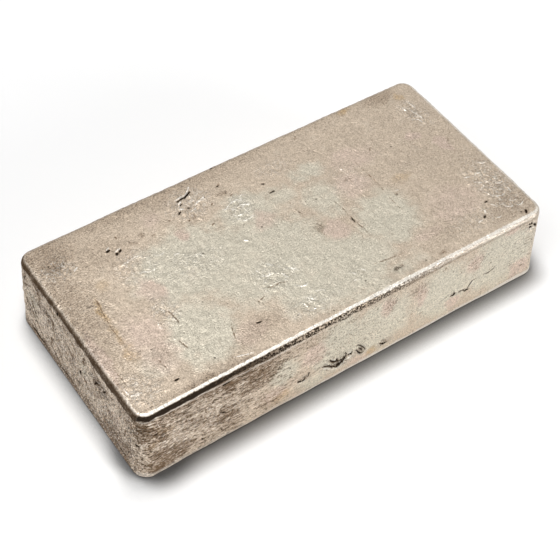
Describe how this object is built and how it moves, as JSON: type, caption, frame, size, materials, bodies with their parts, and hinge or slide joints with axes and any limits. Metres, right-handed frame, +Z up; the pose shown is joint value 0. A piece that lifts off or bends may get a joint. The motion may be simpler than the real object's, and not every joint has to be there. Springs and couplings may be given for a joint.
{
  "type": "cast silver bar",
  "caption": "Plain cast rectangular ingot bar with tapered sides, rounded corners and rims and a slightly crowned, hammered-looking top.",
  "frame": {"origin": "middle of the flat underside, which is the bar's wider face", "axes": "+X along the bar's length, +Y across its width, +Z up through its thickness, out of the narrower crowned face"},
  "size_m": [0.1468, 0.0726, 0.0286],
  "materials": {
    "silver": "dull cast silver, warm grey with brown tarnish stains"
  },
  "bodies": {
    "root": {"silver_bar": "silver"}
  },
  "joints": []
}
